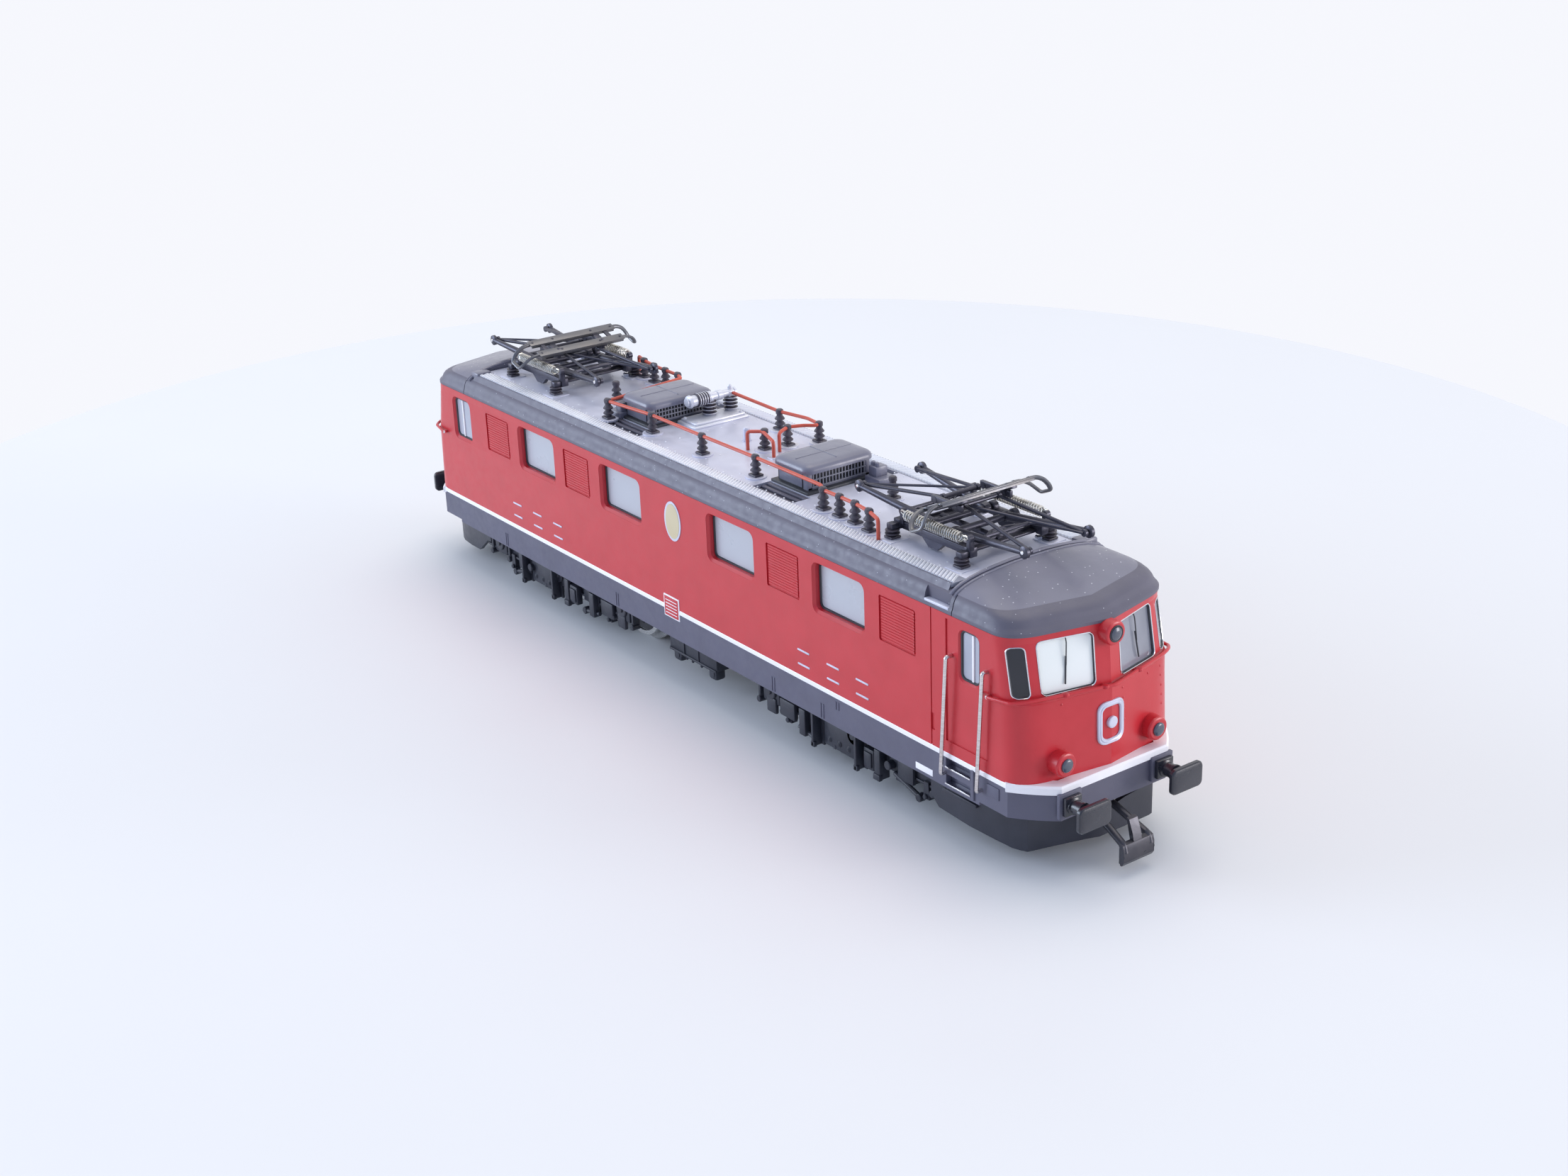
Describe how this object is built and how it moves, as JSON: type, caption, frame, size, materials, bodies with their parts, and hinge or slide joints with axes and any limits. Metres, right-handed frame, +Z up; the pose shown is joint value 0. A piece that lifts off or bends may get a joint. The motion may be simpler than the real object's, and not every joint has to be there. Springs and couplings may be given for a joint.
{
  "type": "model electric locomotive",
  "caption": "Scale model of a six-axle electric locomotive with a cab at each end, swivelling bogies, raising pantographs, roof gear and buffers.",
  "frame": {"origin": "on the floor under the wheel flanges, in the middle of the locomotive", "axes": "+X forward along the body, +Y its left side, +Z up"},
  "size_m": [0.2116, 0.037, 0.0551],
  "materials": {
    "red_enamel": "semi-gloss deep red body paint",
    "roof_grey": "satin blue-grey paint",
    "silver_paint": "silver roof paint",
    "busbar_red": "orange-red line with dark insulators",
    "clear_moulding": "lightly frosted clear plastic",
    "bright_steel": "bright turned steel",
    "spring_brass": "plated brass",
    "dark_steel": "blackened steel",
    "diecast_metal": "raw die casting",
    "circuit_green": "green board",
    "black_moulding": "matt black moulding"
  },
  "bodies": {
    "body": {"body_shell": "red_enamel", "side_glazing_left": "clear_moulding", "side_glazing_right": "clear_moulding", "cab_glazing_front": "clear_moulding", "cab_glazing_rear": "clear_moulding", "roof_shell": "roof_grey", "roof_panel": "silver_paint", "roof_busbar": "busbar_red", "main_breaker": "silver_paint", "intake_hood_front": "roof_grey", "intake_hood_rear": "roof_grey", "door_handrail_front_inner": "bright_steel", "door_handrail_front_outer": "bright_steel", "door_handrail_rear_inner": "bright_steel", "door_handrail_rear_outer": "bright_steel", "nose_handrail_front": "red_enamel", "nose_handrail_rear": "red_enamel", "buffer_front_left": "black_moulding", "buffer_front_right": "black_moulding", "buffer_rear_left": "black_moulding", "buffer_rear_right": "black_moulding", "chassis_frame": "diecast_metal", "motor_housing": "diecast_metal", "circuit_board": "circuit_green", "underfloor_box": "black_moulding", "pantograph_front_base": "dark_steel", "pantograph_front_spring_left": "spring_brass", "pantograph_front_spring_right": "spring_brass", "pantograph_rear_base": "dark_steel", "pantograph_rear_spring_left": "spring_brass", "pantograph_rear_spring_right": "spring_brass"},
    "bogie_front": {"bogie_frame_front": "black_moulding", "gear_block_front": "diecast_metal", "bottom_cover_front": "black_moulding"},
    "wheelset_front_1": {"wheelset_front_1": "bright_steel"},
    "wheelset_front_2": {"wheelset_front_2": "bright_steel"},
    "wheelset_front_3": {"wheelset_front_3": "bright_steel"},
    "worm_front": {"worm_front": "spring_brass"},
    "cardan_shaft_front": {"cardan_shaft_front": "dark_steel"},
    "coupler_front": {"coupler_front": "dark_steel"},
    "bogie_rear": {"bogie_frame_rear": "black_moulding", "gear_block_rear": "diecast_metal", "bottom_cover_rear": "black_moulding"},
    "wheelset_rear_1": {"wheelset_rear_1": "bright_steel"},
    "wheelset_rear_2": {"wheelset_rear_2": "bright_steel"},
    "wheelset_rear_3": {"wheelset_rear_3": "bright_steel"},
    "worm_rear": {"worm_rear": "spring_brass"},
    "cardan_shaft_rear": {"cardan_shaft_rear": "dark_steel"},
    "coupler_rear": {"coupler_rear": "dark_steel"},
    "motor_armature": {"motor_armature": "dark_steel"},
    "pantograph_front_lower_a": {"pantograph_front_lower_arm_a": "dark_steel"},
    "pantograph_front_upper_a": {"pantograph_front_upper_arm_a": "dark_steel"},
    "pantograph_front_lower_b": {"pantograph_front_lower_arm_b": "dark_steel"},
    "pantograph_front_upper_b": {"pantograph_front_upper_arm_b": "dark_steel"},
    "pantograph_front_head": {"pantograph_front_head": "dark_steel"},
    "pantograph_rear_lower_a": {"pantograph_rear_lower_arm_a": "dark_steel"},
    "pantograph_rear_upper_a": {"pantograph_rear_upper_arm_a": "dark_steel"},
    "pantograph_rear_lower_b": {"pantograph_rear_lower_arm_b": "dark_steel"},
    "pantograph_rear_upper_b": {"pantograph_rear_upper_arm_b": "dark_steel"},
    "pantograph_rear_head": {"pantograph_rear_head": "dark_steel"}
  },
  "joints": [
    {"name": "bogie_swivel_front", "type": "hinge", "parent": "body", "child": "bogie_front", "pos_m": [0.05, 0, 0.01], "axis": [0, 0, 1], "range_deg": [-8, 8]},
    {"name": "wheel_spin_front_1", "type": "hinge", "parent": "bogie_front", "child": "wheelset_front_1", "pos_m": [0.0747, 0, 0.00845], "axis": [0, 1, 0], "continuous": true},
    {"name": "wheel_spin_front_2", "type": "hinge", "parent": "bogie_front", "child": "wheelset_front_2", "pos_m": [0.05, 0, 0.00845], "axis": [0, 1, 0], "continuous": true},
    {"name": "wheel_spin_front_3", "type": "hinge", "parent": "bogie_front", "child": "wheelset_front_3", "pos_m": [0.0253, 0, 0.00845], "axis": [0, 1, 0], "continuous": true},
    {"name": "worm_spin_front", "type": "hinge", "parent": "bogie_front", "child": "worm_front", "pos_m": [0.05, 0, 0.019], "axis": [1, 0, 0], "continuous": true},
    {"name": "cardan_spin_front", "type": "hinge", "parent": "body", "child": "cardan_shaft_front", "pos_m": [0.03085, 0, 0.019], "axis": [1, 0, 0], "continuous": true},
    {"name": "coupler_swing_front", "type": "hinge", "parent": "bogie_front", "child": "coupler_front", "pos_m": [0.0865, 0, 0.0087], "axis": [0, 0, 1], "range_deg": [-15, 15], "stiffness_Nm_per_rad": 0.00002},
    {"name": "bogie_swivel_rear", "type": "hinge", "parent": "body", "child": "bogie_rear", "pos_m": [-0.05, 0, 0.01], "axis": [0, 0, 1], "range_deg": [-8, 8]},
    {"name": "wheel_spin_rear_1", "type": "hinge", "parent": "bogie_rear", "child": "wheelset_rear_1", "pos_m": [-0.0253, 0, 0.00845], "axis": [0, 1, 0], "continuous": true},
    {"name": "wheel_spin_rear_2", "type": "hinge", "parent": "bogie_rear", "child": "wheelset_rear_2", "pos_m": [-0.05, 0, 0.00845], "axis": [0, 1, 0], "continuous": true},
    {"name": "wheel_spin_rear_3", "type": "hinge", "parent": "bogie_rear", "child": "wheelset_rear_3", "pos_m": [-0.0747, 0, 0.00845], "axis": [0, 1, 0], "continuous": true},
    {"name": "worm_spin_rear", "type": "hinge", "parent": "bogie_rear", "child": "worm_rear", "pos_m": [-0.05, 0, 0.019], "axis": [1, 0, 0], "continuous": true},
    {"name": "cardan_spin_rear", "type": "hinge", "parent": "body", "child": "cardan_shaft_rear", "pos_m": [-0.03085, 0, 0.019], "axis": [1, 0, 0], "continuous": true},
    {"name": "coupler_swing_rear", "type": "hinge", "parent": "bogie_rear", "child": "coupler_rear", "pos_m": [-0.0865, 0, 0.0087], "axis": [0, 0, 1], "range_deg": [-15, 15], "stiffness_Nm_per_rad": 0.00002},
    {"name": "motor_spin", "type": "hinge", "parent": "body", "child": "motor_armature", "pos_m": [0, 0, 0.019], "axis": [1, 0, 0], "continuous": true},
    {"name": "pantograph_front_raise", "type": "hinge", "parent": "body", "child": "pantograph_front_lower_a", "pos_m": [0.0672, 0, 0.0486], "axis": [0, -1, 0], "range_deg": [-1.5, 38]},
    {"name": "pantograph_front_upper_a", "type": "hinge", "parent": "pantograph_front_lower_a", "child": "pantograph_front_upper_a", "pos_m": [0.08538, 0, 0.05067], "axis": [0, -1, 0], "range_deg": [-77, 4]},
    {"name": "pantograph_front_lower_b", "type": "hinge", "parent": "body", "child": "pantograph_front_lower_b", "pos_m": [0.062, 0, 0.0486], "axis": [0, 1, 0], "range_deg": [-2.5, 39]},
    {"name": "pantograph_front_upper_b", "type": "hinge", "parent": "pantograph_front_lower_b", "child": "pantograph_front_upper_b", "pos_m": [0.04382, 0, 0.05067], "axis": [0, 1, 0], "range_deg": [-77, 4]},
    {"name": "pantograph_front_head", "type": "hinge", "parent": "pantograph_front_upper_a", "child": "pantograph_front_head", "pos_m": [0.0672, 0, 0.05274], "axis": [0, -1, 0], "range_deg": [-2.5, 39]},
    {"name": "pantograph_rear_raise", "type": "hinge", "parent": "body", "child": "pantograph_rear_lower_a", "pos_m": [-0.0596, 0, 0.0486], "axis": [0, -1, 0], "range_deg": [-1.5, 39.5]},
    {"name": "pantograph_rear_upper_a", "type": "hinge", "parent": "pantograph_rear_lower_a", "child": "pantograph_rear_upper_a", "pos_m": [-0.04136, 0, 0.05007], "axis": [0, -1, 0], "range_deg": [-80, 4]},
    {"name": "pantograph_rear_lower_b", "type": "hinge", "parent": "body", "child": "pantograph_rear_lower_b", "pos_m": [-0.0648, 0, 0.0486], "axis": [0, 1, 0], "range_deg": [-2.5, 40.5]},
    {"name": "pantograph_rear_upper_b", "type": "hinge", "parent": "pantograph_rear_lower_b", "child": "pantograph_rear_upper_b", "pos_m": [-0.08304, 0, 0.05007], "axis": [0, 1, 0], "range_deg": [-80, 4]},
    {"name": "pantograph_rear_head", "type": "hinge", "parent": "pantograph_rear_upper_a", "child": "pantograph_rear_head", "pos_m": [-0.0596, 0, 0.05153], "axis": [0, -1, 0], "range_deg": [-2.5, 40.5]}
  ],
  "couplings": [
    {"joint": "wheel_spin_front_2", "follows": "wheel_spin_front_1", "ratio": 1},
    {"joint": "wheel_spin_front_3", "follows": "wheel_spin_front_1", "ratio": 1},
    {"joint": "wheel_spin_rear_1", "follows": "wheel_spin_front_1", "ratio": 1},
    {"joint": "wheel_spin_rear_2", "follows": "wheel_spin_front_1", "ratio": 1},
    {"joint": "wheel_spin_rear_3", "follows": "wheel_spin_front_1", "ratio": 1},
    {"joint": "motor_spin", "follows": "wheel_spin_front_1", "ratio": 15},
    {"joint": "cardan_spin_front", "follows": "wheel_spin_front_1", "ratio": 15},
    {"joint": "cardan_spin_rear", "follows": "wheel_spin_front_1", "ratio": 15},
    {"joint": "worm_spin_front", "follows": "wheel_spin_front_1", "ratio": 15},
    {"joint": "worm_spin_rear", "follows": "wheel_spin_front_1", "ratio": 15},
    {"joint": "pantograph_front_upper_a", "follows": "pantograph_front_raise", "ratio": -2},
    {"joint": "pantograph_front_lower_b", "follows": "pantograph_front_raise", "ratio": 1},
    {"joint": "pantograph_front_upper_b", "follows": "pantograph_front_raise", "ratio": -2},
    {"joint": "pantograph_front_head", "follows": "pantograph_front_raise", "ratio": 1},
    {"joint": "pantograph_rear_upper_a", "follows": "pantograph_rear_raise", "ratio": -2},
    {"joint": "pantograph_rear_lower_b", "follows": "pantograph_rear_raise", "ratio": 1},
    {"joint": "pantograph_rear_upper_b", "follows": "pantograph_rear_raise", "ratio": -2},
    {"joint": "pantograph_rear_head", "follows": "pantograph_rear_raise", "ratio": 1}
  ]
}
